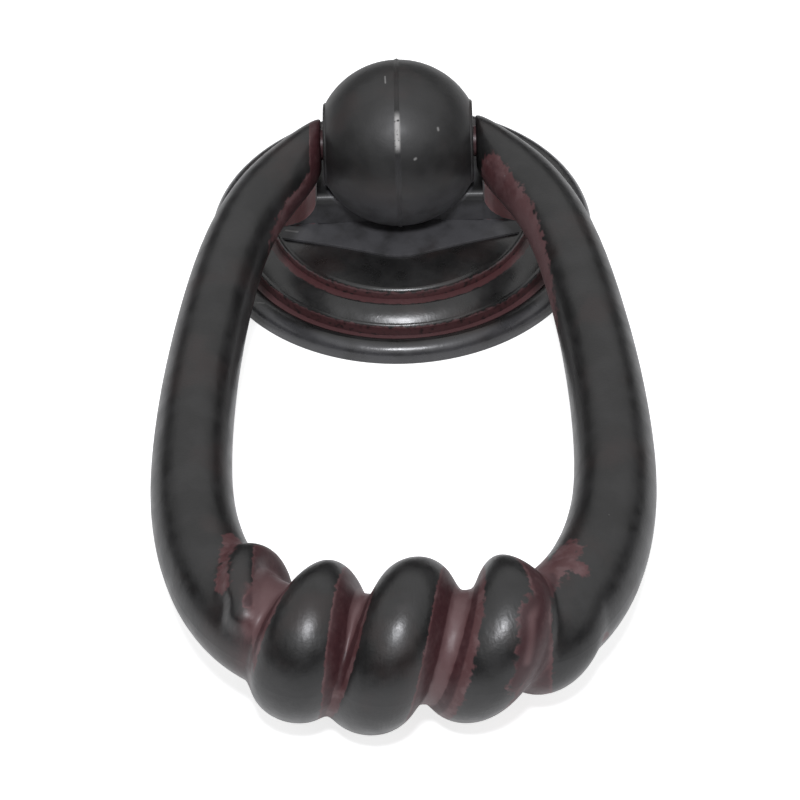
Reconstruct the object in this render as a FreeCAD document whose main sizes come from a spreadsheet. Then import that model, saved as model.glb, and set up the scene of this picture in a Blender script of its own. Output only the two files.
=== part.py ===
import FreeCAD, Part
import math
import os
import re
import Sketcher
from FreeCAD import Placement, Rotation, Vector

# A ring pull: a ball post on a stepped round rosette, and a cast ring with a wrapped coil grip that
# swings on the post. Millimetres. Z points away from the mounting face, which is the plane Z = 0.
# The pivot axis runs along X, and the ring is stored folded down towards -Y.

SIZES = {
    # Rosette, outside
    "rosette_radius": 19.0,
    "dome_height": 4.9,
    "dome_curve": 100.0,
    "rim_ring_width": 3.05,
    "bead_ring_width": 3.0,
    "dome_edge_round": 0.5,
    "groove_one_height": 3.0,
    "groove_one_width": 1.0,
    "bead_lip": 0.1,
    "bead_curve": 3.3,
    "bead_edge_height": 2.2,
    "bead_edge_round": 0.35,
    "groove_two_height": 0.95,
    "rim_bead_radius": 1.25,
    "rim_bead_height": 1.75,
    # Rosette, cored back
    "rosette_wall": 1.5,
    "hub_radius": 7.0,
    # Ball and its pivot bore
    "pivot_height": 12.0,
    "ball_radius": 8.15,
    "ball_flat": 7.3,
    "ball_edge_round": 0.25,
    "seam_height": 0.12,
    "seam_width": 0.5,
    "pin_radius": 1.5,
    "pin_clearance": 0.05,
    "pin_length": 3.0,
    "pin_root": 1.5,
    # Cross block and foot
    "block_half_width": 8.15,
    "block_half_depth": 3.55,
    "block_top": 8.2,
    "block_edge_round": 0.9,
    "web_step": 0.25,
    "foot_lip": 0.25,
    "foot_toe": 0.9,
    "foot_nose": 8.56,
    "foot_nose_round": 6.4,
    "foot_side_slope": 0.345,
    "foot_end_margin": 0.3,
    "seat_clearance": 0.02,
    # Spigot and the tapped hole for the drawer screw
    "spigot_radius": 4.7,
    "spigot_clearance": 0.05,
    "spigot_setback": 0.3,
    "screw_hole_radius": 1.73,
    "screw_hole_depth": 8.0,
    # Ring: half widths and distances from the pivot of the line through the middle of its bar
    "end_gap": 0.3,
    "end_slope": 0.5,
    "neck_out": 9.8,
    "neck_drop": 2.35,
    "shoulder_out": 12.9,
    "shoulder_drop": 6.9,
    "upper_out": 17.1,
    "upper_drop": 20.3,
    "widest_out": 19.2,
    "widest_drop": 40.0,
    "hip_out": 18.3,
    "hip_drop": 51.5,
    "corner_out": 12.6,
    "corner_drop": 61.6,
    "bottom_drop": 64.3,
    # Ring: bar radius at those places
    "end_radius": 2.9,
    "end_round": 0.7,
    "neck_radius": 3.0,
    "shoulder_radius": 3.11,
    "upper_radius": 3.29,
    "widest_radius": 3.66,
    "hip_radius": 3.98,
    "corner_radius": 4.65,
    "bottom_radius": 4.9,
    # Coil grip: one strand wound on the bar. Its stops are half a turn apart, low and high in turn,
    # with a free end before the first and a sunk end after the last, some degrees away from them.
    # Places are measured along the bar from its lowest point
    "nub_turn": 141.0,
    "start_before": 81.0,
    "sink_after": 124.0,
    "start_place": -13.2,
    "start_lift": 4.2,
    "start_thick": 1.45,
    "nub_place": -18.4,
    "nub_lift": 3.7,
    "nub_thick": 2.1,
    "low_one_place": -8.9,
    "low_one_lift": 3.85,
    "low_one_thick": 3.2,
    "high_one_place": -7.5,
    "high_one_lift": 4.25,
    "high_one_thick": 3.4,
    "low_two_place": -3.0,
    "low_two_lift": 4.05,
    "low_two_thick": 3.5,
    "high_two_place": 1.3,
    "high_two_lift": 4.5,
    "high_two_thick": 3.6,
    "low_three_place": 5.1,
    "low_three_lift": 3.7,
    "low_three_thick": 3.1,
    "high_three_place": 10.4,
    "high_three_lift": 3.45,
    "high_three_thick": 3.85,
    "low_four_place": 11.6,
    "low_four_lift": 2.7,
    "low_four_thick": 3.1,
    "sink_place": 15.5,
    "sink_lift": 1.3,
    "sink_thick": 2.9,
}

# How finely the ring's skin is drawn: poles round each section, and sections on half the grip and leg
POLES_AROUND = 36
SECTIONS_ON_GRIP = 44
SECTIONS_ON_LEG = 18
# Places tried along the strand for its first touch of the mounting face
REST_STEPS = 500

doc = FreeCAD.newDocument("ring_pull")


def make_sheet():
    """Writes the driving dimensions, one row each: name, value."""
    sheet = doc.addObject("Spreadsheet::Sheet", "sizes")
    for row, (name, value) in enumerate(SIZES.items(), start=1):
        sheet.set(f"A{row}", name)
        sheet.set(f"B{row}", str(value))
        sheet.setAlias(f"B{row}", name)
    doc.recompute()
    return sheet


sheet = make_sheet()


def size(name):
    """A driving dimension, read from the sheet."""
    return float(sheet.get(name))


def bound(text):
    """Turns size names in an expression into references to the sheet."""
    return re.sub(r"[a-z]\w+", lambda m: "sizes." + m.group() if m.group() in SIZES else m.group(), text)


def value_of(item, text):
    """The number that an expression gives now."""
    found = item.evalExpression(bound(text))
    return float(getattr(found, "Value", found))


def new_body(name):
    body = doc.addObject("PartDesign::Body", name)
    body.Label = name
    return body


def new_sketch(body, name, role):
    """An empty sketch on one of the body's own origin planes."""
    sketch = body.newObject("Sketcher::SketchObject", name)
    plane = next(f for f in body.Origin.OriginFeatures if f.Role == role)
    sketch.AttachmentSupport = (plane, [""])
    sketch.MapMode = "FlatFace"
    return sketch


def arc_between(start, end, radius, left):
    """The shorter arc between two points, with its middle to the left or right of the way."""
    chord = end - start
    half = chord.Length / 2
    side = Vector(-chord.y, chord.x, 0).normalize() * (1 if left else -1)
    middle = (start + end) / 2 + side * math.sqrt(max(radius ** 2 - half ** 2, 0))
    a0 = math.atan2(start.y - middle.y, start.x - middle.x)
    a1 = math.atan2(end.y - middle.y, end.x - middle.x)
    circle = Part.Circle(middle, Vector(0, 0, 1), radius)
    if left:
        return Part.ArcOfCircle(circle, a0, a1)
    return Part.ArcOfCircle(circle, a1, a0)


def draw_outline(sketch, corners):
    """Draws a closed outline. Each corner is (x, y) or (x, y, radius, turn): the last two make the
    side that follows an arc that bends to the left or right. All are expressions on the sheet."""
    points = [Vector(value_of(sketch, c[0]), value_of(sketch, c[1]), 0) for c in corners]
    ends = []
    for i, corner in enumerate(corners):
        start, end = points[i], points[(i + 1) % len(points)]
        if len(corner) == 2:
            sketch.addGeometry(Part.LineSegment(start, end), False)
            ends.append((1, 2))
        else:
            left = corner[3] == "left"
            radius = value_of(sketch, corner[2])
            sketch.addGeometry(arc_between(start, end, radius, left), False)
            ends.append((1, 2) if left else (2, 1))
    for i, corner in enumerate(corners):
        before = (i - 1) % len(corners)
        sketch.addConstraint(Sketcher.Constraint("Coincident", before, ends[before][1], i, ends[i][0]))
        pin(sketch, "DistanceX", i, ends[i][0], corner[0], points[i].x)
        pin(sketch, "DistanceY", i, ends[i][0], corner[1], points[i].y)
        if len(corner) == 4:
            number = sketch.addConstraint(Sketcher.Constraint("Radius", i, value_of(sketch, corner[2])))
            sketch.setExpression(f"Constraints[{number}]", bound(corner[2]))


def pin(sketch, kind, side, end, text, value):
    """Holds one coordinate of a corner at an expression on the sheet."""
    number = sketch.addConstraint(Sketcher.Constraint(kind, -1, 1, side, end, value))
    sketch.setExpression(f"Constraints[{number}]", bound(text))


def draw_circle(sketch, x, y, radius):
    middle = Vector(value_of(sketch, x), value_of(sketch, y), 0)
    sketch.addGeometry(Part.Circle(middle, Vector(0, 0, 1), value_of(sketch, radius)), False)
    pin(sketch, "DistanceX", 0, 3, x, middle.x)
    pin(sketch, "DistanceY", 0, 3, y, middle.y)
    number = sketch.addConstraint(Sketcher.Constraint("Radius", 0, value_of(sketch, radius)))
    sketch.setExpression(f"Constraints[{number}]", bound(radius))


def revolve(body, kind, name, sketch, axis):
    feature = body.newObject(kind, name)
    feature.Profile = sketch
    feature.ReferenceAxis = (sketch, [axis])
    feature.Angle = 360
    doc.recompute()
    return feature


def extrude(body, kind, name, sketch, length, both_ways=False, reverse=False):
    feature = body.newObject(kind, name)
    feature.Profile = sketch
    feature.setExpression("Length", bound(length))
    feature.Midplane = both_ways
    feature.Reversed = reverse
    doc.recompute()
    return feature


BEAD_EDGE = "(rosette_radius - rim_ring_width)"
DOME_EDGE = f"({BEAD_EDGE} - bead_ring_width)"
FOOT_END = f"({DOME_EDGE} - foot_end_margin)"
BORE = "(spigot_radius + spigot_clearance)"
RIM_MIDDLE = "(rosette_radius - rim_bead_radius)"
RIM_LEVEL = "(rim_bead_height - rim_bead_radius)"


def dome_at(radius, lift="0"):
    """The height of the dome, or of a surface over it, at a distance from its axis."""
    return f"(dome_height + {lift} - dome_curve + sqrt(dome_curve ^ 2 - ({radius}) ^ 2))"


def make_rosette():
    """The backplate, turned about Z: dome, groove, bead, groove and round rim, cored at the back."""
    body = new_body("rosette")
    section = new_sketch(body, "rosette_section", "XZ_Plane")
    dome_end = f"{DOME_EDGE} - dome_edge_round"
    bead_start = f"{DOME_EDGE} + groove_one_width"
    rim_start = f"{RIM_MIDDLE} - sqrt(rim_bead_radius ^ 2 - (groove_two_height - {RIM_LEVEL}) ^ 2)"
    inner_radius = f"{DOME_EDGE} - rosette_wall"
    outer_radius = f"{BEAD_EDGE} - rosette_wall"
    inner_level = f"{dome_at(inner_radius)} - rosette_wall"
    outer_level = "groove_one_height - rosette_wall"
    draw_outline(section, [
        (BORE, dome_at(BORE), "dome_curve", "right"),
        (dome_end, dome_at(dome_end), "dome_edge_round", "right"),
        (DOME_EDGE, f"{dome_at(dome_end)} - dome_edge_round"),
        (DOME_EDGE, "groove_one_height"),
        (bead_start, "groove_one_height"),
        (bead_start, "groove_one_height + bead_lip", "bead_curve", "right"),
        (f"{BEAD_EDGE} - bead_edge_round", "bead_edge_height", "bead_edge_round", "right"),
        (BEAD_EDGE, "bead_edge_height - bead_edge_round"),
        (BEAD_EDGE, "groove_two_height"),
        (rim_start, "groove_two_height", "rim_bead_radius", "right"),
        (RIM_MIDDLE, "rim_bead_height", "rim_bead_radius", "right"),
        ("rosette_radius", RIM_LEVEL),
        ("rosette_radius", "0"),
        (outer_radius, "0"),
        (outer_radius, outer_level),
        (inner_radius, outer_level),
        (inner_radius, inner_level),
        ("hub_radius", inner_level),
        ("hub_radius", "0"),
        (BORE, "0"),
    ])
    doc.recompute()
    revolve(body, "PartDesign::Revolution", "rosette_turned", section, "V_Axis")
    return body


def make_ball_post():
    """Foot, web with coves, cross block, ball with flats, spigot, tapped hole and pivot bore."""
    body = new_body("ball_post")
    add_foot(body)
    add_web_and_block(body)
    add_ball(body)
    add_spigot(body)
    add_bores(body)
    return body


def add_foot(body):
    """A thin foot, a wedge with a rounded nose at front and back, whose top follows the dome."""
    plan = new_sketch(body, "foot_plan", "XY_Plane")
    # The nose arc touches both straight sides, which fall by foot_side_slope for each unit of X
    slant = "sqrt(1 + foot_side_slope ^ 2)"
    touch_x = f"foot_nose_round * foot_side_slope / {slant}"
    touch_y = f"foot_nose - foot_nose_round + foot_nose_round / {slant}"
    # Each side meets the round end at that end's distance from the axis
    tip = f"({touch_y} + foot_side_slope * {touch_x})"
    end_x = (f"({tip} * foot_side_slope + sqrt({FOOT_END} ^ 2 * (1 + foot_side_slope ^ 2) - {tip} ^ 2))"
             " / (1 + foot_side_slope ^ 2)")
    end_y = f"{tip} - foot_side_slope * {end_x}"
    draw_outline(plan, [
        (f"-({touch_x})", f"-({touch_y})", "foot_nose_round", "left"),
        (touch_x, f"-({touch_y})"),
        (end_x, f"-({end_y})", FOOT_END, "left"),
        (end_x, end_y),
        (touch_x, touch_y, "foot_nose_round", "left"),
        (f"-({touch_x})", touch_y),
        (f"-({end_x})", end_y, FOOT_END, "left"),
        (f"-({end_x})", f"-({end_y})"),
    ])
    doc.recompute()
    extrude(body, "PartDesign::Pad", "foot_pad", plan, "block_top")
    above = new_sketch(body, "foot_top_cut", "XZ_Plane")
    draw_outline(above, [
        ("0", "dome_height + foot_lip", "dome_curve", "right"),
        ("rosette_radius", dome_at("rosette_radius", "foot_lip")),
        ("rosette_radius", "2 * block_top"),
        ("0", "2 * block_top"),
    ])
    doc.recompute()
    revolve(body, "PartDesign::Groove", "foot_top", above, "V_Axis")


def add_web_and_block(body):
    """The web spreads into the foot with a cove at each end. The block stands just proud of it."""
    front = new_sketch(body, "web_front", "XZ_Plane")
    reach = f"({FOOT_END} - foot_toe)"
    cove = f"({reach} - block_half_width)"
    floor = dome_at(reach, "foot_lip")
    draw_outline(front, [
        (f"-{reach}", "0"),
        (reach, "0"),
        (reach, floor, cove, "right"),
        ("block_half_width", f"{floor} + {cove}"),
        ("block_half_width", "block_top - block_edge_round"),
        ("-block_half_width", "block_top - block_edge_round"),
        ("-block_half_width", f"{floor} + {cove}", cove, "right"),
        (f"-{reach}", floor),
    ])
    doc.recompute()
    extrude(body, "PartDesign::Pad", "web_pad", front, "2 * (block_half_depth - web_step)", both_ways=True)
    end = new_sketch(body, "block_end", "YZ_Plane")
    draw_outline(end, [
        ("-block_half_depth", "dome_height"),
        ("block_half_depth", "dome_height"),
        ("block_half_depth", "block_top - block_edge_round", "block_edge_round", "left"),
        ("block_half_depth - block_edge_round", "block_top"),
        ("-(block_half_depth - block_edge_round)", "block_top", "block_edge_round", "left"),
        ("-block_half_depth", "block_top - block_edge_round"),
    ])
    doc.recompute()
    extrude(body, "PartDesign::Pad", "block_pad", end, "2 * block_half_width", both_ways=True)


def add_ball(body):
    """The ball, turned about the pivot axis, with a flat at each side and the mould seam between."""
    half = new_sketch(body, "ball_section", "XZ_Plane")
    flat = "sqrt(ball_radius ^ 2 - (ball_flat - ball_edge_round) ^ 2)"
    seam = "sqrt(ball_radius ^ 2 - seam_width ^ 2 / 4)"
    up = "pivot_height"
    draw_outline(half, [
        ("-ball_flat", up),
        ("ball_flat", up),
        ("ball_flat", f"{up} + {flat} - ball_edge_round", "ball_edge_round", "left"),
        ("ball_flat - ball_edge_round", f"{up} + {flat}", "ball_radius", "left"),
        ("seam_width / 2", f"{up} + {seam}"),
        ("0", f"{up} + ball_radius + seam_height"),
        ("-seam_width / 2", f"{up} + {seam}", "ball_radius", "left"),
        ("-(ball_flat - ball_edge_round)", f"{up} + {flat}", "ball_edge_round", "left"),
        ("-ball_flat", f"{up} + {flat} - ball_edge_round"),
    ])
    doc.recompute()
    revolve(body, "PartDesign::Revolution", "ball_turned", half, "Edge1")


def add_spigot(body):
    """Trims the post to its seat on the dome, then adds the spigot that goes through the rosette."""
    below = new_sketch(body, "seat_cut", "XZ_Plane")
    draw_outline(below, [
        ("0", "-rosette_radius"),
        ("rosette_radius", "-rosette_radius"),
        ("rosette_radius", dome_at("rosette_radius", "seat_clearance"), "dome_curve", "left"),
        ("0", "dome_height + seat_clearance"),
    ])
    doc.recompute()
    revolve(body, "PartDesign::Groove", "seat", below, "V_Axis")
    spigot = new_sketch(body, "spigot_section", "XZ_Plane")
    draw_outline(spigot, [
        ("0", "spigot_setback"),
        ("spigot_radius", "spigot_setback"),
        ("spigot_radius", "dome_height"),
        ("0", "dome_height"),
    ])
    doc.recompute()
    revolve(body, "PartDesign::Revolution", "spigot", spigot, "V_Axis")


def add_bores(body):
    """The tapped hole from the back, with its drill point, and the bore along the pivot axis."""
    hole = new_sketch(body, "screw_hole_section", "XZ_Plane")
    depth = "spigot_setback + screw_hole_depth"
    draw_outline(hole, [
        ("0", "0"),
        ("screw_hole_radius", "0"),
        ("screw_hole_radius", depth),
        ("0", f"{depth} + screw_hole_radius / 2"),
    ])
    doc.recompute()
    revolve(body, "PartDesign::Groove", "screw_hole", hole, "V_Axis")
    bore = new_sketch(body, "pivot_bore_circle", "YZ_Plane")
    draw_circle(bore, "0", "pivot_height", "pin_radius + pin_clearance")
    doc.recompute()
    extrude(body, "PartDesign::Pocket", "pivot_bore", bore, "4 * ball_radius", both_ways=True)


def ring_line():
    """The line through the middle of the ring's bar, from the left end to the right, drawn in the
    plane of the ring. Its third coordinate isn't a height but the bar's radius at that place."""
    end_out = size("ball_flat") + size("end_gap")
    half = [Vector(end_out, 0, size("end_radius"))]
    for place in ("neck", "shoulder", "upper", "widest", "hip", "corner"):
        half.append(Vector(size(place + "_out"), -size(place + "_drop"), size(place + "_radius")))
    bottom = Vector(0, -size("bottom_drop"), size("bottom_radius"))
    left = [Vector(-point.x, point.y, point.z) for point in half]
    start = Vector(-1, -size("end_slope"), 0).normalize()
    line = Part.BSplineCurve()
    line.interpolate(Points=left + [bottom] + half[::-1], Scale=False,
                     InitialTangent=start, FinalTangent=Vector(start.x, -start.y, 0))
    return line


def place_on(line, along):
    """Middle, direction and radius of the bar at a distance along it from its lowest point."""
    lowest = (line.FirstParameter + line.LastParameter) / 2
    at = line.parameterAtDistance(along, lowest)
    point = line.value(at)
    way = line.tangent(at)[0]
    return Vector(point.x, point.y, 0), Vector(way.x, way.y, 0).normalize(), point.z


COIL_STOPS = ("start", "nub", "low_one", "high_one", "low_two", "high_two",
              "low_three", "high_three", "low_four", "sink")


def slope_between(before, after):
    """The slope at a stop from those at its two sides, so that nothing swings past a stop."""
    return 2 * before * after / (before + after) if before * after > 0 else 0


def coil_stops():
    """The strand's stops in order: the turn in degrees round the bar, then place, lift and thickness,
    then how fast those three change with the turn."""
    halves = [size("nub_turn") + 180 * i for i in range(len(COIL_STOPS) - 2)]
    turns = [halves[0] - size("start_before")] + halves + [halves[-1] + size("sink_after")]
    slopes = []
    for kind in ("place", "lift", "thick"):
        values = [size(f"{name}_{kind}") for name in COIL_STOPS]
        steps = [(values[i + 1] - values[i]) / (turns[i + 1] - turns[i]) for i in range(len(values) - 1)]
        inner = [slope_between(a, b) for a, b in zip(steps, steps[1:])]
        slopes.append((values, [steps[0]] + inner + [steps[-1]]))
    return [(turn, [values[i] for values, _ in slopes], [slope[i] for _, slope in slopes])
            for i, turn in enumerate(turns)]


def coil_at(stops, turn):
    """Place, lift and thickness of the strand at a turn, eased from stop to stop."""
    turn = min(max(turn, stops[0][0]), stops[-1][0])
    after = next(i for i in range(1, len(stops)) if turn <= stops[i][0])
    (start, values, slopes), (end, next_values, next_slopes) = stops[after - 1], stops[after]
    span = end - start
    share = (turn - start) / span
    found = []
    for a, b, slope_a, slope_b in zip(values, next_values, slopes, next_slopes):
        bend = span * share * (1 - share) * (slope_a * (1 - share) - slope_b * share)
        found.append(a + (b - a) * share ** 2 * (3 - 2 * share) + bend)
    return found


def wound_radius(stops, bar_radius, along, turn):
    """The grip's radius at a distance along the bar, in a direction given in degrees round it: the
    bar's own, or that of the strand where it stands out further. The strand's ends are round."""
    first, last = stops[0][0], stops[-1][0]
    radius = bar_radius
    for number in range(math.floor((first - turn) / 360), math.ceil((last - turn) / 360) + 1):
        at = turn + 360 * number
        place, lift, thick = coil_at(stops, at)
        if abs(along - place) > 2 * thick:
            continue
        advance = (coil_at(stops, at + 1)[0] - coil_at(stops, at - 1)[0]) * 180
        across = (along - place) * math.cos(math.atan2(advance, 2 * math.pi * lift))
        beyond = math.radians(max(first - at, at - last, 0)) * lift
        room = thick ** 2 - across ** 2 - beyond ** 2
        if room > 0:
            radius = max(radius, lift + math.sqrt(room))
    return radius


def ring_stations(line, stops):
    """Distances along the bar for the sections of its skin: close together on the grip."""
    half_length = line.length() / 2
    grip_half = max(abs(place) + thick for _, (place, _, thick), _ in stops)
    fine = [grip_half * i / SECTIONS_ON_GRIP for i in range(-SECTIONS_ON_GRIP, SECTIONS_ON_GRIP + 1)]
    leg = half_length - grip_half
    coarse = [grip_half + leg * ((i / SECTIONS_ON_LEG + (i / SECTIONS_ON_LEG) ** 2) / 2)
              for i in range(1, SECTIONS_ON_LEG)]
    return [-along for along in reversed(coarse)] + fine + coarse


def end_section(line, side):
    """Poles of a leg's end beside the ball: the bar's round section carried on along its line to the
    plane square to the pivot axis, smaller at first so that the edge is rounded."""
    middle, way, radius = place_on(line, line.length() / 2 * 0.999999 * side)
    outward = way.cross(Vector(0, 0, 1))
    rows = []
    for shrink in (size("end_round"), 0):
        row = []
        for j in range(POLES_AROUND):
            turn = 2 * math.pi * j / POLES_AROUND
            spoke = (outward * math.cos(turn) + Vector(0, 0, 1) * math.sin(turn)) * (radius - shrink)
            row.append(middle + spoke - way * (spoke.x / way.x))
        rows.append(row)
    return rows


def make_ring_skin(line, stops):
    """Ring bar and coil grip as one smooth solid: a surface through sections set along the line,
    each a closed row of poles whose distance from the line is the wound radius."""
    rows = end_section(line, -1)
    for along in ring_stations(line, stops):
        middle, way, bar_radius = place_on(line, along)
        outward = way.cross(Vector(0, 0, 1))
        row = []
        for j in range(POLES_AROUND):
            turn = 360 * j / POLES_AROUND
            spoke = outward * math.cos(math.radians(turn)) + Vector(0, 0, 1) * math.sin(math.radians(turn))
            row.append(middle + spoke * wound_radius(stops, bar_radius, along, turn))
        rows.append(row)
    rows += reversed(end_section(line, 1))
    spans = len(rows) - 3
    surface = Part.BSplineSurface()
    surface.buildFromPolesMultsKnots(
        list(zip(*rows)), [1] * (POLES_AROUND + 1), [4] + [1] * (spans - 1) + [4],
        list(range(POLES_AROUND + 1)), list(range(spans + 1)), True, False, 3, 3)
    skin = surface.toShape()
    ends = [Part.Face(Part.Wire([edge])) for edge in skin.Edges if edge.Closed]
    shell = Part.Shell([skin] + ends)
    shell.sewShape()
    return Part.Solid(shell)


def rest_angle(line, stops):
    """How far the ring swings below square to the screw when its grip lies on the mounting face:
    the first touch of any turn of the strand, taken as a round bar."""
    angles = []
    first, last = stops[0][0], stops[-1][0]
    for step in range(REST_STEPS + 1):
        turn = first + (last - first) * step / REST_STEPS
        place, lift, thick = coil_at(stops, turn)
        middle, way, _ = place_on(line, place)
        sideways = way.cross(Vector(0, 0, 1)) * math.cos(math.radians(turn))
        point = middle + (sideways + Vector(0, 0, 1) * math.sin(math.radians(turn))) * lift
        reach = math.hypot(point.y, point.z)
        low = size("pivot_height") - thick
        angles.append(math.degrees(math.asin(low / reach) + math.atan2(point.z, -point.y)))
    return min(angles)


def make_ring():
    """The ring with the two pins cast on its ends, folded down until the grip rests."""
    line = ring_line()
    stops = coil_stops()
    skin = doc.addObject("Part::Feature", "ring_skin")
    skin.Shape = make_ring_skin(line, stops)
    pins = []
    for name, side in (("left_pin", -1), ("right_pin", 1)):
        pin_bar = doc.addObject("Part::Cylinder", name)
        pin_bar.setExpression("Radius", bound("pin_radius"))
        pin_bar.setExpression("Height", bound("pin_length + pin_root"))
        foot = side * (size("ball_flat") + size("end_gap") + size("pin_root"))
        pin_bar.Placement = Placement(Vector(foot, 0, 0), Rotation(Vector(0, 0, 1), Vector(-side, 0, 0)))
        pins.append(pin_bar)
    ring = doc.addObject("Part::MultiFuse", "ring")
    ring.Label = "ring"
    ring.Shapes = [skin] + pins
    resting = Rotation(Vector(1, 0, 0), rest_angle(line, stops))
    ring.Placement = Placement(Vector(0, 0, size("pivot_height")), resting)
    return ring


pieces = [make_rosette(), make_ball_post(), make_ring()]
doc.recompute()
for item in doc.Objects:
    if "Invalid" in item.State or "Error" in item.State:
        raise RuntimeError(f"{item.Name} failed: {item.State}")
for piece in pieces:
    if piece.Shape.isNull() or not piece.Shape.isValid() or len(piece.Shape.Solids) != 1:
        raise RuntimeError(f"{piece.Label} isn't one valid solid")
os.makedirs("parts", exist_ok=True)
for piece in pieces:
    piece.Shape.exportStep(f"parts/{piece.Label}.step")
    box = piece.Shape.optimalBoundingBox(True, False)
    print(piece.Label, round(piece.Shape.Volume, 2), [round(v, 3) for v in (
        box.XMin, box.YMin, box.ZMin, box.XMax, box.YMax, box.ZMax)])
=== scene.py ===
import math
import bpy
from mathutils import Matrix, Vector


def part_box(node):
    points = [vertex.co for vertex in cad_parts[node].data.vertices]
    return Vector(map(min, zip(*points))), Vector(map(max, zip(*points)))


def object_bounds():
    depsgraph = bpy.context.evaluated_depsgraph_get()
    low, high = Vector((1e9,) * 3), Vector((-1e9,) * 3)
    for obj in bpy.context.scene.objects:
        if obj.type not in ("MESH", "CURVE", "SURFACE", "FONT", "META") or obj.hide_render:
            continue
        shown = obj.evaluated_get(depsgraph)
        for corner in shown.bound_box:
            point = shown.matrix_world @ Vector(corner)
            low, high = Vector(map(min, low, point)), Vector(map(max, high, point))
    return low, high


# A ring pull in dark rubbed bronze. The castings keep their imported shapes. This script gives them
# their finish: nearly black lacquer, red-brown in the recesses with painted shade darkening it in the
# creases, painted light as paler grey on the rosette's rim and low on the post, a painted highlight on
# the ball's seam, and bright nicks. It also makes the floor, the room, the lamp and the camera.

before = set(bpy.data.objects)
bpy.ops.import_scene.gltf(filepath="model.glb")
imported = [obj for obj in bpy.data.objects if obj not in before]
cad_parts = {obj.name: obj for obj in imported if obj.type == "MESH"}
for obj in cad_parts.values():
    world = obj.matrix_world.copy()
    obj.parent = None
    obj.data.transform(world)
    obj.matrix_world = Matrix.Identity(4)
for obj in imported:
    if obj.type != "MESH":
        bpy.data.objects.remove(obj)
cad_low, cad_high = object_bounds()

MM = 0.001

# Colours, linear
LACQUER = (0.0085, 0.0083, 0.0084, 1)
LACQUER_PALE = (0.0170, 0.0166, 0.0168, 1)
LACQUER_BROWN = (0.0220, 0.0150, 0.0142, 1)
RED = (0.0760, 0.0290, 0.0310, 1)
RED_PALE = (0.1140, 0.0600, 0.0625, 1)
RED_STRONG = (0.1350, 0.0400, 0.0440, 1)
# Painted shade: a darker red for creases and deep recesses
RED_IN_SHADE = (0.0330, 0.0080, 0.0105, 1)
WORN = (0.1500, 0.1450, 0.1420, 1)
# Bare metal of nicks and scratches, and the painted highlight on the ball's seam
BRIGHT = (0.5000, 0.4900, 0.4800, 1)
# Painted light: paler grey on the rosette's rim and low on the post
PAINTED_LIGHT_GREY = (0.0620, 0.0615, 0.0660, 1)
WHITE = (1, 1, 1, 1)
FLOOR_GREY = (0.86, 0.86, 0.86, 1)
WALL_GREY = (0.03, 0.03, 0.03, 1)

# A pair named as bounds says where a mask is 0 and where it is 1. Lengths are millimetres, in the
# frame of the model. Blotches are noise: their size, their detail and the bounds of their mask

# Skin of all castings
PALE_BLOTCHES = (3.2, 4.0, (0.40, 0.64))
BROWN_BLOTCHES = (6.0, 5.0, (0.52, 0.68))
BROWN_SHARE = 0.6
# Blotches that break up the painted light
PAINTED_LIGHT_BLOTCHES = (2.2, 3.0, (0.05, 0.62))
RED_BLOTCHES = (1.3, 4.0, (0.42, 0.66))
MOTTLE = (0.55, 6.0)
RAGGEDNESS = 1.3
RED_BOUNDS = (0.36, 0.64)
# Painted shade: how the depth of a recess darkens its red
SHADE_MOTTLE = 0.25
SHADE_BOUNDS = (0.52, 0.82)
# Paler red: partly paler paint, partly a painted highlight
FADED_AND_SHEEN_SHARE = 0.85
EDGE_REACH = 0.30
EDGE_MOTTLE = 0.7
EDGE_BOUNDS = (1.02, 1.25)
EDGE_SHARE = 0.30
SPECK_SPACING = 2.6
SPECK_SIZE = 0.11
SPECK_SHARE = 0.09
SPECK_PALENESS = 0.35
SMEAR = (1.6, 5.0)
SMEAR_ROUGHNESS = 0.26
RED_ROUGHNESS = 0.12
COAT_ROUGHNESS = 0.22
WAVES = (3.5, 2.0)
WAVE_HEIGHT = 0.070
GRAIN = (0.28, 5.0)
GRAIN_HEIGHT = 0.012
PIT_DEPTH = 0.020
SHELTER_SAMPLES = 8

# Rosette: where its two grooves start, and the bounds of their red from there
ROSETTE_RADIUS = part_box("rosette")[1].x / MM
GROOVE_STARTS = (ROSETTE_RADIUS - 6.05, ROSETTE_RADIUS - 3.05)
GROOVE_INNER_BOUNDS = (-0.25, 0.10)
GROOVE_OUTER_BOUNDS = (1.00, 0.55)
GROOVE_RED = 0.80
# Painted shade: the red darkens where the rosette shelters itself
GROOVE_REACH = 1.1
GROOVE_SHADE = 0.85
OUTER_GROOVE_FADED = 0.35
SCRATCH = ((-14.6, -11.3, 1.7), (-13.5, -11.6, 1.7), 0.07)
SCRATCH_BARE = 0.3
# Painted light: paler grey along the rim, standing in for its highlight
RIM_BOUNDS = (ROSETTE_RADIUS - 1.2, ROSETTE_RADIUS - 0.6)
RIM_SHARE = 0.7

# Post: the coves at both ends of its web, its ball, its seam and its foot
COVE_X_BOUNDS = (8.10, 8.60)
COVE_Y_BOUNDS = (3.60, 3.00)
COVE_FACING_BOUNDS = (0.75, 0.35)
# Painted shade: the red darkens deeper in the coves
COVE_REACH = 2.2
COVE_SHADE = 0.50
PIVOT_HEIGHT = 12.0
BALL_RADIUS = 8.15
# Painted light: paler grey on the ball's underside, beside its lower seam and on the foot, where the
# lamp leaves shade
BALL_BOUNDS = (0.5, 0.2)
UNDERSIDE_BOUNDS = (13.5, 9.0)
SEAM_X_BOUNDS = (0.40, 0.15)
SEAM_Z_BOUNDS = (17.5, 15.5)
SEAM_SHARE = 0.35
FOOT_BOUNDS = (8.0, 6.0)
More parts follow.
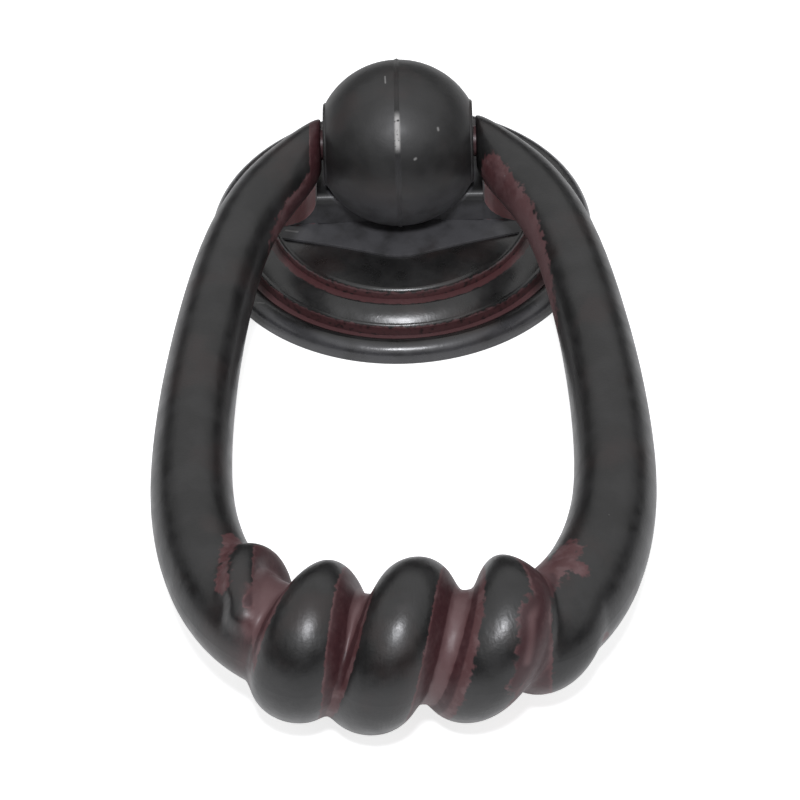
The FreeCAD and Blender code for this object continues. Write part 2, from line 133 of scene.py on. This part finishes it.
# Painted highlight: a bright streak on the ball's seam where the lamp's highlight falls, broken up by
# blotches
SEAM_GLINT = ((0, -4.8, 18.6), (0, -6.4, 17.2), 0.6)
SEAM_GLINT_X_BOUNDS = (0.36, 0.12)
SEAM_GLINT_BLOTCHES = (0.5, 3.0, (0.30, 0.46))
NICK_BARE = 0.45

# Small bright marks on the post: both ends of each and its half width
POST_NICKS = (
    ((3.90, -4.60, 17.45), (3.96, -4.75, 17.35), 0.10),
    ((1.62, -7.10, 15.70), (1.72, -7.05, 15.75), 0.10),
    ((-1.08, 0.30, 20.05), (-1.05, -0.70, 20.05), 0.06),
    ((-11.30, -3.90, 4.45), (-10.20, -4.30, 4.55), 0.10),
    ((-10.10, -3.70, 4.75), (-9.70, -3.90, 4.85), 0.08),
)

# Ring: the plane of the ring at rest in degrees, and the arc of the grip's bar in that plane
RING_TILT = 3.84
BAR_ARC_RADIUS = 30.75
BAR_ARC_REACH = 33.55

# Grooves of the grip. Lift is the distance from the line of the bar
RECESS_REACH = 4.0
RECESS_BOUNDS = (0.16, 0.44)
GRIP_LEFT_BOUNDS = (-13.5, -12.9)
GRIP_RIGHT_BOUNDS = (13.2, 12.2)
GRIP_Y_BOUNDS = (-54.0, -56.0)
VALLEY_BOUNDS = (6.85, 6.30)
VALLEY_LEAN = 0.35
# Painted shade: the red darkens in the creases where the coil meets the bar, and on the valleys' flanks
# facing +x
CREASE_REACH = 1.6
CREASE_INNER_BOUNDS = (5.00, 5.25)
CREASE_OUTER_BOUNDS = (6.25, 5.75)
CREASE_SHADE = 0.62
NEAR_SIDE_BOUNDS = (0.10, 0.45)
# Paler red on the open bar between the creases: partly paler paint, partly a painted highlight
STRIP_BOUNDS = (5.20, 5.00)

# Legs near the ball. The left one's red side faces one way. The right one's red ends sooner
# towards its top the further it is from the ball
LEFT_LEG_SIDE = (0.93, -0.33, -0.10)
LEFT_LEG_FACING_BOUNDS = (0.76, 0.98)
LEFT_LEG_X_BOUNDS = (-2.0, -4.0)
LEFT_LEG_Y_BOUNDS = (-19.0, -8.0)
LEFT_END_X_BOUNDS = (-8.80, -8.45)
LEFT_END_Y_BOUNDS = (-14.0, -12.0)
# Painted shade darkens the left leg's red
LEFT_LEG_SHADE = 0.60
RIGHT_LEG_SLOPE = 0.0246
RIGHT_LEG_BOUNDS = (0.14, 0.54)
RIGHT_LEG_X_BOUNDS = (2.0, 4.0)
RIGHT_LEG_Y_BOUNDS = (-3.4, -5.4)
# Painted shade darkens the right leg's red towards its top
RIGHT_LEG_SHADE_BOUNDS = (-14.0, -9.0)
RIGHT_LEG_SHADE = 0.52
RIGHT_LEG_PALE_BOUNDS = (-7.0, -14.0)

# Red on the open bar beside the grip: both ends and the half width of each patch
OPEN_PATCHES = (
    ((-15.0, -54.3, 11.9), (-15.5, -60.6, 12.3), 0.95),
    ((12.3, -60.2, 12.2), (14.3, -57.2, 12.0), 1.5),
    ((14.0, -58.6, 12.1), (15.5, -59.6, 12.3), 0.75),
    ((17.4, -63.4, 7.6), (17.5, -62.9, 7.2), 0.45),
)
# The same, only where the coil shelters the bar
SHELTERED_BOUNDS = (0.02, 0.12)
SHELTERED_PATCHES = (
    ((-10.9, -56.7, 9.9), (-12.2, -61.8, 12.4), 1.4),
    ((-13.0, -63.0, 12.3), (-14.2, -66.0, 8.8), 2.0),
    ((-14.2, -66.0, 8.8), (-14.8, -65.6, 6.0), 2.2),
)
# The crease beside the nub that starts the coil and the groove before the coil's end, both darkened by
# painted shade, and where the red on and beside the grip is paler: partly paler paint, partly a painted
# highlight along the groove's middle and on the bar beside the nub
NUB_CREASE = ((-12.2, -58.0, 11.6), (-13.5, -63.1, 12.8), 0.55)
NUB_CREASE_SHADE = 0.8
LAST_GROOVE = (
    ((12.2, -60.8, 12.4), (11.0, -66.4, 13.4), 1.2),
    ((11.0, -66.4, 13.4), (10.5, -68.9, 10.6), 1.2),
    ((10.5, -68.9, 10.6), (9.4, -71.0, 7.5), 0.9),
)
PALE_PATCHES = (
    ((11.8, -62.0, 12.9), (11.0, -66.4, 13.4), 0.35),
    ((11.0, -66.4, 13.4), (10.5, -68.9, 10.6), 0.35),
    ((-11.4, -58.0, 10.9), (-14.2, -66.0, 8.8), 1.1),
)

# Camera, fitted to the outlines in the photograph for a square picture
CAMERA_PLACE = Vector((4.33, -309.62, 265.17)) * MM
CAMERA_WAY = Vector((-0.01205, 0.73267, -0.68048))
CAMERA_RIGHT = Vector((0.99961, -0.00826, -0.02660))
LENS = 183.3
CLIP_START = 0.01

# Lamp: a small softbox above the camera, in metres, watts and degrees
LAMP_TARGET = Vector((0, -30, 8)) * MM
LAMP_ELEVATION = 61.0
LAMP_DISTANCE = 0.60
LAMP_SIZE = 0.10
LAMP_POWER = 2.5
LAMP_COLOUR = (0.95, 0.96, 1.0)

# Room and floor: their light, and what the camera and the gloss see of the floor, where 1 is white
ROOM_LIGHT = 0.32
FLOOR_SHOWN = 0.75
FLOOR_GLOW = 0.44
FLOOR_SIZE = 6.0
FLOOR_GAP = 0.0001
FLOOR_ROUGHNESS = 0.9

# Dark walls of the room, which only the gloss of the castings shows
WALL_DISTANCE = 0.50
WALL_HEIGHT = 0.26
WALL_SIDES = 96


class Finish:
    """One material's node tree, with short calls for its nodes. Lengths are millimetres."""

    def __init__(self, name):
        self.material = bpy.data.materials.new(name)
        self.material.use_nodes = True
        self.tree = self.material.node_tree
        self.shader = self.tree.nodes["Principled BSDF"]
        where = self.node("ShaderNodeTexCoord")
        self.place = self.scaled(where.outputs["Object"], 1 / MM)
        self.facing = where.outputs["Normal"]

    def node(self, kind, **settings):
        made = self.tree.nodes.new(kind)
        for name, value in settings.items():
            setattr(made, name, value)
        return made

    def feed(self, socket, value):
        """Links a socket to another node's output, or sets it to a plain value."""
        if isinstance(value, bpy.types.NodeSocket):
            self.tree.links.new(value, socket)
        else:
            socket.default_value = value

    def math(self, operation, first, second=0.0, clamp=False):
        made = self.node("ShaderNodeMath", operation=operation, use_clamp=clamp)
        self.feed(made.inputs[0], first)
        self.feed(made.inputs[1], second)
        return made.outputs[0]

    def chained(self, operation, values):
        found = values[0]
        for value in values[1:]:
            found = self.math(operation, found, value)
        return found

    def all_of(self, *masks):
        """Product of masks, and of shares where only a part of them counts."""
        return self.chained("MULTIPLY", masks)

    def any_of(self, *masks):
        return self.chained("MAXIMUM", masks)

    def sum_of(self, *values):
        return self.chained("ADD", values)

    def size_of(self, value):
        return self.math("ABSOLUTE", value)

    def hypot(self, first, second):
        return self.math("SQRT", self.sum_of(self.all_of(first, first), self.all_of(second, second)))

    def step(self, value, low, high):
        """Rises smoothly from 0 at low to 1 at high, or falls where low is the larger."""
        made = self.node("ShaderNodeMapRange", interpolation_type="SMOOTHSTEP")
        self.feed(made.inputs["Value"], value)
        made.inputs["From Min"].default_value = low
        made.inputs["From Max"].default_value = high
        return made.outputs["Result"]

    def scaled(self, vector, factor):
        made = self.node("ShaderNodeVectorMath", operation="SCALE")
        self.feed(made.inputs[0], vector)
        self.feed(made.inputs["Scale"], factor)
        return made.outputs[0]

    def vector_math(self, operation, first, second):
        made = self.node("ShaderNodeVectorMath", operation=operation)
        self.feed(made.inputs[0], first)
        self.feed(made.inputs[1], second)
        return made.outputs["Value" if operation in ("DOT_PRODUCT", "DISTANCE") else "Vector"]

    def parts(self, vector):
        made = self.node("ShaderNodeSeparateXYZ")
        self.feed(made.inputs[0], vector)
        return made.outputs

    def mix(self, share, first, second):
        made = self.node("ShaderNodeMix", data_type="RGBA")
        self.feed(made.inputs["Factor"], share)
        self.feed(made.inputs[6], first)
        self.feed(made.inputs[7], second)
        return made.outputs[2]

    def noise(self, size, detail):
        """Noise whose blotches are about this size."""
        made = self.node("ShaderNodeTexNoise")
        self.feed(made.inputs["Vector"], self.place)
        made.inputs["Scale"].default_value = 1 / size
        made.inputs["Detail"].default_value = detail
        return made.outputs["Fac"]

    def blotches(self, size, detail, bounds):
        return self.step(self.noise(size, detail), *bounds)

    def near(self, start, end, radius):
        """1 close to the line between two points, 0.5 at the radius, and 0 at twice the radius."""
        start, end = Vector(start), Vector(end)
        way = end - start
        from_start = self.vector_math("SUBTRACT", self.place, start)
        share = self.vector_math("DOT_PRODUCT", from_start, way)
        share = self.math("DIVIDE", share, way.length_squared, clamp=True)
        nearest = self.vector_math("ADD", self.scaled(way, share), start)
        return self.step(self.vector_math("DISTANCE", self.place, nearest), radius * 2, 0)

    def near_each(self, patches):
        return [self.near(*patch) for patch in patches]

    def shelter(self, reach, inside=False):
        """How much of the piece itself lies within reach: its recesses, or its edges from inside."""
        made = self.node("ShaderNodeAmbientOcclusion", only_local=True, inside=inside,
                         samples=SHELTER_SAMPLES)
        made.inputs["Distance"].default_value = reach * MM
        return self.math("SUBTRACT", 1.0, made.outputs["AO"])

    def specks(self, spacing, size, share):
        """Small round marks in a share of the cells of a scattered pattern."""
        made = self.node("ShaderNodeTexVoronoi")
        self.feed(made.inputs["Vector"], self.place)
        made.inputs["Scale"].default_value = 1 / spacing
        spot = self.step(made.outputs["Distance"], size / spacing, size / spacing * 0.4)
        chosen = self.step(self.parts(made.outputs["Color"])[0], 1 - share, 1 - share + 0.01)
        return self.all_of(spot, chosen)


def make_bronze(name, marks, roughness, coat, reds=(RED, RED_PALE), painted_light_mask=None):
    """Rubbed bronze. marks gives four masks: where the red-brown of the recesses shows, how deep
    in a recess each place is, which darkens the red there as painted shade, where the red is paler,
    partly as paler paint and partly as a painted highlight on the grip's open bar, and where the metal
    is bright: bare at nicks and scratches, and a painted highlight on the ball's seam. An optional
    last mask paints light as paler grey."""
    f = Finish(name)
    red, depth, faded_and_sheen, bare_and_glint = marks(f)
    mottle = f.noise(*MOTTLE)
    ragged = f.all_of(f.math("SUBTRACT", mottle, 0.5), RAGGEDNESS)
    red = f.step(f.sum_of(red, ragged), *RED_BOUNDS)
    edges = f.sum_of(f.shelter(EDGE_REACH, inside=True), f.all_of(mottle, EDGE_MOTTLE))
    specks = f.specks(SPECK_SPACING, SPECK_SIZE, SPECK_SHARE)

    colour = f.mix(f.blotches(*PALE_BLOTCHES), LACQUER, LACQUER_PALE)
    colour = f.mix(f.all_of(f.blotches(*BROWN_BLOTCHES), BROWN_SHARE), colour, LACQUER_BROWN)
    # Painted light: paler grey where the optional mask says, on the rosette's rim and low on the post
    if painted_light_mask:
        colour = f.mix(f.all_of(painted_light_mask(f), f.blotches(*PAINTED_LIGHT_BLOTCHES)), colour, PAINTED_LIGHT_GREY)
    paint = f.mix(f.blotches(*RED_BLOTCHES), *reds)
    # Painted shade: the red turns darker deep in recesses and creases
    painted_shade = f.step(f.sum_of(depth, f.all_of(mottle, SHADE_MOTTLE)), *SHADE_BOUNDS)
    paint = f.mix(painted_shade, paint, RED_IN_SHADE)
    # Paler red: partly paler paint, partly a painted highlight on the grip's open bar
    paint = f.mix(f.all_of(faded_and_sheen, FADED_AND_SHEEN_SHARE), paint, RED_PALE)
    colour = f.mix(red, colour, paint)
    colour = f.mix(f.all_of(f.step(edges, *EDGE_BOUNDS), EDGE_SHARE), colour, WORN)
    colour = f.mix(f.all_of(specks, SPECK_PALENESS), colour, WORN)
    # Bright: bare metal at nicks and scratches, and a painted highlight on the ball's seam
    colour = f.mix(bare_and_glint, colour, BRIGHT)
    f.feed(f.shader.inputs["Base Color"], colour)

    smear = f.all_of(f.math("SUBTRACT", f.noise(*SMEAR), 0.5), SMEAR_ROUGHNESS)
    rough = f.sum_of(smear, f.all_of(red, RED_ROUGHNESS), roughness)
    f.feed(f.shader.inputs["Roughness"], rough)
    f.shader.inputs["Specular IOR Level"].default_value = 0.5
    f.shader.inputs["Coat Weight"].default_value = coat
    f.shader.inputs["Coat Roughness"].default_value = COAT_ROUGHNESS
    add_surface(f, specks)
    return f.material


def add_surface(f, specks):
    """Casting skin: slow waves, fine grain and small pits."""
    waves = f.all_of(f.noise(*WAVES), WAVE_HEIGHT)
    grain = f.all_of(f.noise(*GRAIN), GRAIN_HEIGHT)
    bump = f.node("ShaderNodeBump")
    bump.inputs["Distance"].default_value = MM
    f.feed(bump.inputs["Height"], f.sum_of(waves, grain, f.all_of(specks, -PIT_DEPTH)))
    f.feed(f.shader.inputs["Normal"], bump.outputs["Normal"])


def rosette_marks(f):
    """Red in the two grooves of the rosette, darkened by painted shade where they are sheltered, and one
    scratch.
    """
    x, y, _ = f.parts(f.place)
    grooves = []
    for start in GROOVE_STARTS:
        across = f.math("SUBTRACT", f.hypot(x, y), start)
        inner = f.step(across, *GROOVE_INNER_BOUNDS)
        outer = f.step(across, *GROOVE_OUTER_BOUNDS)
        grooves.append(f.all_of(inner, outer))
    red = f.all_of(f.any_of(*grooves), GROOVE_RED)
    depth = f.all_of(f.shelter(GROOVE_REACH), GROOVE_SHADE)
    return red, depth, f.all_of(grooves[1], OUTER_GROOVE_FADED), f.all_of(f.near(*SCRATCH), SCRATCH_BARE)


def rosette_rim_highlight(f):
    """Painted light: paler grey along the rim, standing in for the rim's highlight."""
    x, y, _ = f.parts(f.place)
    return f.all_of(f.step(f.hypot(x, y), *RIM_BOUNDS), RIM_SHARE)


def post_marks(f):
    """Red in the coves at both ends of the post's web, darkened by painted shade deep in them, a painted
    highlight on the seam, and nicks.
    """
    x, y, _ = f.parts(f.place)
    beyond = f.step(f.size_of(x), *COVE_X_BOUNDS)
    within = f.step(f.size_of(y), *COVE_Y_BOUNDS)
    endwise = f.step(f.size_of(f.parts(f.facing)[1]), *COVE_FACING_BOUNDS)
    # Painted highlight: a bright streak on the seam
    rubbed = f.all_of(f.step(f.size_of(x), *SEAM_GLINT_X_BOUNDS), f.near(*SEAM_GLINT),
                      f.blotches(*SEAM_GLINT_BLOTCHES))
    nicks = f.all_of(f.any_of(*f.near_each(POST_NICKS)), NICK_BARE)
    depth = f.all_of(f.shelter(COVE_REACH), COVE_SHADE)
    return f.all_of(beyond, within, endwise), depth, 0.0, f.any_of(rubbed, nicks)


def post_painted_light(f):
    """Painted light: paler, bluish grey low on the post where the lamp leaves shade: its foot, the
    ball's underside and beside its lower seam.
    """
    x, _, z = f.parts(f.place)
    from_centre = f.vector_math("DISTANCE", f.place, (0, 0, PIVOT_HEIGHT))
    on_ball = f.step(f.size_of(f.math("SUBTRACT", from_centre, BALL_RADIUS)), *BALL_BOUNDS)
    underside = f.all_of(on_ball, f.step(z, *UNDERSIDE_BOUNDS))
    beside_seam = f.all_of(on_ball, f.step(f.size_of(x), *SEAM_X_BOUNDS),
                           f.step(z, *SEAM_Z_BOUNDS), SEAM_SHARE)
    return f.any_of(f.step(z, *FOOT_BOUNDS), underside, beside_seam)


def bar_distance(f):
    """How far each place is from the line of the grip's bar, an arc in the plane of the ring."""
    x, y, z = f.parts(f.place)
    height = f.math("SUBTRACT", z, PIVOT_HEIGHT)
    level, rise = math.cos(math.radians(RING_TILT)), math.sin(math.radians(RING_TILT))
    along = f.sum_of(f.all_of(y, level), f.all_of(height, rise))
    out = f.math("SUBTRACT", f.all_of(height, level), f.all_of(y, rise))
    radius = f.hypot(x, f.sum_of(along, BAR_ARC_REACH))
    return f.hypot(f.math("SUBTRACT", radius, BAR_ARC_RADIUS), out)


def leg_marks(f):
    """Masks of the red on the legs near the ball: the left one's side and end, and the right one."""
    x, y, _ = f.parts(f.place)
    on_left = f.step(x, *LEFT_LEG_X_BOUNDS)
    side = f.step(f.vector_math("DOT_PRODUCT", f.facing, LEFT_LEG_SIDE), *LEFT_LEG_FACING_BOUNDS)
    side = f.all_of(side, on_left, f.step(y, *LEFT_LEG_Y_BOUNDS))
    end = f.all_of(f.step(x, *LEFT_END_X_BOUNDS), on_left, f.step(y, *LEFT_END_Y_BOUNDS))
    turned = f.math("SUBTRACT", f.all_of(y, RIGHT_LEG_SLOPE), f.parts(f.facing)[0])
    right = f.all_of(f.step(turned, *RIGHT_LEG_BOUNDS), f.step(x, *RIGHT_LEG_X_BOUNDS),
                     f.step(y, *RIGHT_LEG_Y_BOUNDS))
    return f.any_of(side, end), right


def ring_marks(f):
    """Red in the grooves of the grip, on the bar beside it, and on the legs' sides near the ball,
    darkened by painted shade in the creases, and paler on the open bar, partly as a painted highlight.
    """
    x, y, _ = f.parts(f.place)
    facing_x = f.parts(f.facing)[0]
    wide = f.shelter(RECESS_REACH)
    lift = bar_distance(f)
    on_grip = f.all_of(f.step(x, *GRIP_LEFT_BOUNDS), f.step(x, *GRIP_RIGHT_BOUNDS),
                       f.step(y, *GRIP_Y_BOUNDS))
    valley = f.step(f.math("SUBTRACT", lift, f.all_of(facing_x, VALLEY_LEAN)), *VALLEY_BOUNDS)
    valley = f.all_of(valley, on_grip)
    crease = f.all_of(f.step(lift, *CREASE_INNER_BOUNDS), f.step(lift, *CREASE_OUTER_BOUNDS), on_grip)
    near_side = f.all_of(valley, f.step(facing_x, *NEAR_SIDE_BOUNDS))
    pale_and_lit_strip = f.all_of(f.step(lift, *STRIP_BOUNDS), on_grip)
    nub_crease = f.near(*NUB_CREASE)
    last_groove = f.near_each(LAST_GROOVE)
    sheltered = f.all_of(f.any_of(*f.near_each(SHELTERED_PATCHES)), f.step(wide, *SHELTERED_BOUNDS))
    left, right = leg_marks(f)
    red = f.any_of(f.step(wide, *RECESS_BOUNDS), valley, left, right, nub_crease, sheltered,
                   *f.near_each(OPEN_PATCHES), *last_groove)
    painted_shade = f.any_of(f.shelter(CREASE_REACH), f.all_of(f.any_of(crease, near_side), CREASE_SHADE),
                    f.all_of(nub_crease, NUB_CREASE_SHADE), f.all_of(left, LEFT_LEG_SHADE),
                    f.all_of(right, f.step(y, *RIGHT_LEG_SHADE_BOUNDS), RIGHT_LEG_SHADE), *last_groove)
    faded_and_sheen = f.any_of(pale_and_lit_strip, f.all_of(right, f.step(y, *RIGHT_LEG_PALE_BOUNDS)),
                     *f.near_each(PALE_PATCHES))
    return red, painted_shade, faded_and_sheen, 0.0


def dress_castings():
    finishes = {
        "rosette": make_bronze("rubbed_rosette", rosette_marks, roughness=0.30, coat=0.15,
                               reds=(RED, RED), painted_light_mask=rosette_rim_highlight),
        "ball_post": make_bronze("rubbed_post", post_marks, roughness=0.54, coat=0.10,
                                 reds=(RED_STRONG, RED_STRONG), painted_light_mask=post_painted_light),
        "ring": make_bronze("rubbed_ring", ring_marks, roughness=0.36, coat=0.0),
    }
    for name, material in finishes.items():
        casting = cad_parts[name]
        casting.data.materials.clear()
        casting.data.materials.append(material)


def seen_directly(tree, by_camera, by_gloss):
    """The first strength for rays from the camera, the second for those that mirror or pass."""
    path = tree.nodes.new("ShaderNodeLightPath")
    total = None
    for ray, strength in (("Camera", by_camera), ("Glossy", by_gloss), ("Transmission", by_gloss)):
        part = tree.nodes.new("ShaderNodeMath")
        part.operation = "MULTIPLY"
        part.inputs[1].default_value = strength
        tree.links.new(path.outputs["Is %s Ray" % ray], part.inputs[0])
        if total is None:
            total = part.outputs[0]
            continue
        most = tree.nodes.new("ShaderNodeMath")
        most.operation = "MAXIMUM"
        tree.links.new(total, most.inputs[0])
        tree.links.new(part.outputs[0], most.inputs[1])
        total = most.outputs[0]
    return total


def make_world():
    """Plain room light, which shows as white behind the object."""
    world = bpy.data.worlds.new("room")
    world.use_nodes = True
    bpy.context.scene.world = world
    tree = world.node_tree
    strength = tree.nodes.new("ShaderNodeMix")
    strength.inputs[2].default_value = ROOM_LIGHT
    strength.inputs[3].default_value = 1.0
    tree.links.new(seen_directly(tree, 1.0, 1.0), strength.inputs[0])
    background = tree.nodes["Background"]
    background.inputs["Color"].default_value = WHITE
    tree.links.new(strength.outputs[0], background.inputs["Strength"])


def plain_shader(thing, name, colour, roughness):
    """Gives a part of the room a matt material, and returns its tree and shader."""
    material = bpy.data.materials.new(name)
    material.use_nodes = True
    shader = material.node_tree.nodes["Principled BSDF"]
    shader.inputs["Base Color"].default_value = colour
    shader.inputs["Roughness"].default_value = roughness
    shader.inputs["Specular IOR Level"].default_value = 0.0
    thing.data.materials.append(material)
    return material.node_tree, shader


def make_floor():
    """A plain pale floor that shows nearly white and keeps the shadow."""
    bpy.ops.mesh.primitive_plane_add(size=FLOOR_SIZE, location=(0, 0, cad_low.z - FLOOR_GAP))
    floor = bpy.context.object
    floor.name = "floor"
    tree, shader = plain_shader(floor, "floor_paper", FLOOR_GREY, FLOOR_ROUGHNESS)
    shader.inputs["Emission Color"].default_value = WHITE
    shown = seen_directly(tree, FLOOR_SHOWN, FLOOR_GLOW)
    tree.links.new(shown, shader.inputs["Emission Strength"])


def make_walls():
    """Dark walls round the scene. Only gloss sees them, as bands along the castings' flanks."""
    bpy.ops.mesh.primitive_cylinder_add(vertices=WALL_SIDES, radius=WALL_DISTANCE,
                                        depth=WALL_HEIGHT, end_fill_type="NOTHING",
                                        location=(0, 0, WALL_HEIGHT / 2))
    walls = bpy.context.object
    walls.name = "walls"
    walls.visible_camera = False
    walls.visible_diffuse = False
    walls.visible_shadow = False
    plain_shader(walls, "wall_cloth", WALL_GREY, 1.0)


def make_lamp():
    data = bpy.data.lights.new("softbox", "AREA")
    data.shape = "DISK"
    data.size = LAMP_SIZE
    data.energy = LAMP_POWER
    data.color = LAMP_COLOUR
    lamp = bpy.data.objects.new("softbox", data)
    elevation = math.radians(LAMP_ELEVATION)
    way = Vector((0, -math.cos(elevation), math.sin(elevation)))
    lamp.location = LAMP_TARGET + way * LAMP_DISTANCE
    lamp.rotation_euler = way.to_track_quat("Z", "Y").to_euler()
    bpy.context.scene.collection.objects.link(lamp)


def make_camera():
    data = bpy.data.cameras.new("camera")
    data.lens = LENS
    data.clip_start = CLIP_START
    camera = bpy.data.objects.new("camera", data)
    back = -CAMERA_WAY.normalized()
    right = (CAMERA_RIGHT - back * CAMERA_RIGHT.dot(back)).normalized()
    up = back.cross(right)
    turn = Matrix((right, up, back)).transposed().to_4x4()
    camera.matrix_world = Matrix.Translation(CAMERA_PLACE) @ turn
    bpy.context.scene.collection.objects.link(camera)
    bpy.context.scene.camera = camera


dress_castings()
make_world()
make_floor()
make_walls()
make_lamp()
make_camera()
bpy.context.scene.view_settings.view_transform = "Standard"
